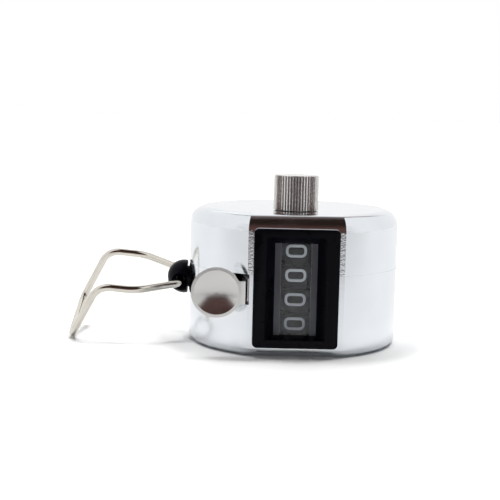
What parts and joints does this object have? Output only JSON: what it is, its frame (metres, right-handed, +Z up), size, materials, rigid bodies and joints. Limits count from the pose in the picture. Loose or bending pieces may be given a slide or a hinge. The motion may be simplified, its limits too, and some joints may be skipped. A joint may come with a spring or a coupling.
{
  "type": "tally counter",
  "caption": "Round chrome hand tally counter with a window of number wheels, a thumb lever, a knurled reset knob and a folded wire finger ring.",
  "frame": {"origin": "middle of the flat base, on the axis of the round case", "axes": "+Z up along the case axis toward the reset knob, -Y out of the number window, -X toward the finger ring"},
  "size_m": [0.0708, 0.0446, 0.0364],
  "materials": {
    "chrome": "polished chrome plating",
    "nickel_wire": "bright nickel plating",
    "knurled_steel": "straight knurl",
    "black_plastic": "semi-gloss",
    "clear_plastic": "clear",
    "wheel_plastic": "moulded",
    "spring_steel": "blued",
    "steel": "zinc plated",
    "brass": "turned"
  },
  "bodies": {
    "case": {"upper_shell": "chrome", "lower_shell": "chrome", "window_bezel": "black_plastic", "window_lens": "clear_plastic", "upper_plate": "steel", "lower_plate": "steel", "frame_pillars": "steel", "case_screws": "steel", "upper_bush": "brass", "lower_bush": "brass", "lever_pin": "steel", "stop_post": "steel", "comb_post": "steel", "detent_comb": "spring_steel", "comb_screws": "steel", "lever_spring": "spring_steel"},
    "reset": {"reset_knob": "knurled_steel", "knob_grub_screw": "steel", "reset_shaft": "steel", "thrust_washer": "brass", "spring_washer": "spring_steel", "retaining_clip": "spring_steel"},
    "lever": {"thumb_lever": "chrome", "claw_pin": "steel", "claw_spring": "spring_steel"},
    "claw": {"drive_claw": "steel"},
    "eye": {"ring_swivel": "black_plastic"},
    "ring": {"finger_ring": "nickel_wire"},
    "units": {"units_wheel": "wheel_plastic", "units_zero_pawl": "spring_steel"},
    "tens": {"tens_wheel": "wheel_plastic", "tens_zero_pawl": "spring_steel"},
    "hundreds": {"hundreds_wheel": "wheel_plastic", "hundreds_zero_pawl": "spring_steel"},
    "thousands": {"thousands_wheel": "wheel_plastic", "thousands_zero_pawl": "spring_steel"}
  },
  "joints": [
    {"name": "knob_turn", "type": "hinge", "parent": "case", "child": "reset", "pos_m": [0, -0.0083, 0], "axis": [0, 0, 1], "continuous": true, "deforming": ["detent_comb"]},
    {"name": "lever_press", "type": "hinge", "parent": "case", "child": "lever", "pos_m": [-0.0096, -0.01625, 0.01325], "axis": [0, 0, -1], "range_deg": [0, 20], "stiffness_Nm_per_rad": 0.05, "springref_deg": -14.32, "deforming": ["lever_spring"]},
    {"name": "claw_swing", "type": "hinge", "parent": "lever", "child": "claw", "pos_m": [-0.01431, -0.0029, 0.01325], "axis": [0, 0, 1], "range_deg": [0, 35], "deforming": ["claw_spring"]},
    {"name": "eye_swivel", "type": "hinge", "parent": "case", "child": "eye", "pos_m": [-0.0245, 0, 0.0132], "axis": [1, 0, 0], "continuous": true},
    {"name": "ring_swing", "type": "hinge", "parent": "eye", "child": "ring", "pos_m": [-0.0245, 0, 0.0132], "axis": [0, 0.9563, 0.2924], "range_deg": [-65, 85]},
    {"name": "units_turn", "type": "hinge", "parent": "reset", "child": "units", "pos_m": [0, -0.0083, 0], "axis": [0, 0, -1], "range_deg": [0, 36], "deforming": ["units_zero_pawl"]},
    {"name": "tens_turn", "type": "hinge", "parent": "reset", "child": "tens", "pos_m": [0, -0.0083, 0], "axis": [0, 0, -1], "continuous": true, "deforming": ["tens_zero_pawl"]},
    {"name": "hundreds_turn", "type": "hinge", "parent": "reset", "child": "hundreds", "pos_m": [0, -0.0083, 0], "axis": [0, 0, -1], "continuous": true, "deforming": ["hundreds_zero_pawl"]},
    {"name": "thousands_turn", "type": "hinge", "parent": "reset", "child": "thousands", "pos_m": [0, -0.0083, 0], "axis": [0, 0, -1], "continuous": true, "deforming": ["thousands_zero_pawl"]}
  ],
  "couplings": [
    {"joint": "units_turn", "follows": "lever_press", "ratio": 1.8},
    {"joint": "claw_swing", "follows": "lever_press", "ratio": 1.72}
  ]
}
